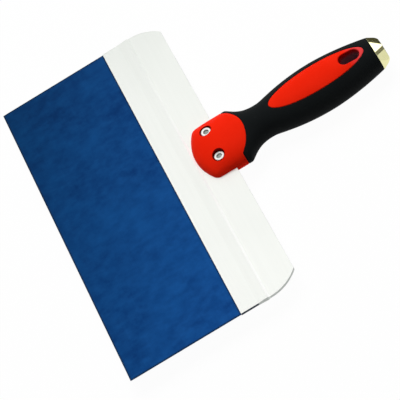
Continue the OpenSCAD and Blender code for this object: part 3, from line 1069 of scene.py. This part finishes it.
def soft_box(name, direction, distance, size, radiance, in_reflections=True):
    """A rectangular lamp on a direction from the knife, facing it, as bright all over as asked."""
    light = bpy.data.lights.new(name, "AREA")
    light.shape = "RECTANGLE"
    light.size, light.size_y = size
    light.energy = radiance * pi * size[0] * size[1]
    lamp = bpy.data.objects.new(name, light)
    lamp.visible_glossy = in_reflections
    scene.collection.objects.link(lamp)
    at = Vector(direction).normalized() * distance
    lamp.matrix_world = Matrix.Translation(at) @ at.to_track_quat("Z", "Y").to_matrix().to_4x4()


def reflection_card(name, corners, tone):
    """Painted reflection: a glowing card of one tone that only reflections show, in polished
    facets.
    """
    card = new_object(name, bmesh.new())
    card.data.from_pydata(corners, [], [(0, 1, 2, 3)])
    material = bpy.data.materials.new(name + "_painted_reflection")
    g = bare_graph(material)
    card_glow = g.add("ShaderNodeEmission", Color=tone, Strength=1.0)
    g.add("ShaderNodeOutputMaterial", Surface=card_glow.outputs[0])
    card.data.materials.append(material)
    card.visible_camera = False
    card.visible_diffuse = False
    card.visible_shadow = False


def facing_corners(direction, distance, half):
    """Corners of a square that faces the knife from a direction."""
    turn = Vector(direction).to_track_quat("Z", "Y").to_matrix()
    at = Vector(direction).normalized() * distance
    return [tuple(at + turn @ Vector((x, y, 0))) for x, y in rectangle(-half, -half, half, half)]


def build_camera():
    """A long lens looking down on the blade from beyond its +X end, rolled so that the handle
    points up and away."""
    back = CAMERA_BACK.normalized()
    right = CAMERA_UP.normalized().cross(back).normalized()
    axes = Matrix((right, back.cross(right), back)).transposed().to_4x4()
    camera = bpy.data.objects.new("camera", bpy.data.cameras.new("camera"))
    scene.collection.objects.link(camera)
    camera.data.lens = LENS
    camera.data.sensor_width = SENSOR
    camera.data.clip_end = VIEW_END
    camera.matrix_world = Matrix.Translation(CAMERA_EYE) @ axes
    scene.camera = camera


# ---- Assembly ----

for make_group in (brushed_lines_group, fine_grain_group, handling_marks_group):
    make_group()

steel, aluminium = blued_steel(), bright_aluminium()
red, black, brass = red_plastic(), black_rubber(), polished_brass()
sleeve_metal = rivet_steel("rivet_sleeve_metal", (0.86, 0.86, 0.83, 1), (0.93, 0.93, 0.9, 1))
pin_metal = rivet_steel("rivet_pin_metal", (0.26, 0.30, 0.27, 1), (0.4, 0.44, 0.4, 1))

blade = give(dressed_copy("blade", "blade_plate", bevel=0.06), steel)
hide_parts("blade")
strip = give(dressed_copy("backing_strip", "strip_extrusion", bevel=0.2, angle=12), aluminium)
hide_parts("backing_strip")
block = dressed_copy("hammer_end", "hammer_block", bevel=0.2, angle=14, crown_bevel=1.35)
hammer = give(block, brass)
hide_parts("hammer_end")
moulding = join("handle_moulding", [build_jaws(), build_stem(), build_oval_islands()])
core = give(moulding, red)
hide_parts("handle_core")
grip = give(build_soft_grip(), black)
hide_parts("soft_grip")
sleeves = give(build_rivet_sleeves(sleeve_metal), sleeve_metal)
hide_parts("rivet_sleeve_left", "rivet_sleeve_right")
for obj in (core, grip, sleeves):
    smooth_by_angle(obj)
for obj, flat_over in ((blade, 60), (strip, 60), (hammer, 3)):
    smooth_by_angle(obj, flat_over)
for name in ("rivet_pin_left", "rivet_pin_right"):
    nodes[name].data.materials.clear()
    nodes[name].data.materials.append(pin_metal)

build_floor()
build_world()
# painted reflections: glowing cards seen only in reflections, none of them a lamp; the floor card
# stands for shade on the floor beside the hammer end, the edge cards give the hammer's facets their
# dark bands, and the rear card a pale one
card_height = 0.0004
floor_corners = [(x, y, card_height) for x, y in rectangle(-0.25, 0.1, -0.012, 0.3)]
edge_corners = facing_corners((-0.4, 0.8, 0.44), distance=1.5, half=0.2)
far_edge_corners = facing_corners((-0.82, 0.57, 0.07), distance=1.5, half=0.2)
rear_corners = facing_corners((-0.14, 0.93, 0.33), distance=1.7, half=0.4)
reflection_card("floor_card", floor_corners, (0.075, 0.074, 0.045, 1))
reflection_card("edge_card", edge_corners, (0.2, 0.2, 0.18, 1))
reflection_card("far_edge_card", far_edge_corners, (0.07, 0.07, 0.05, 1))
reflection_card("rear_card", rear_corners, (0.85, 0.86, 0.86, 1))
soft_box("key", (-0.5, 0.08, 0.86), distance=3.0, size=(2.1, 2.1), radiance=7.25,
         in_reflections=False)
soft_box("back_core", (-0.65, 0.63, 0.43), distance=2.0, size=(0.35, 0.35), radiance=1.3)
build_camera()
scene.view_settings.view_transform = "Standard"
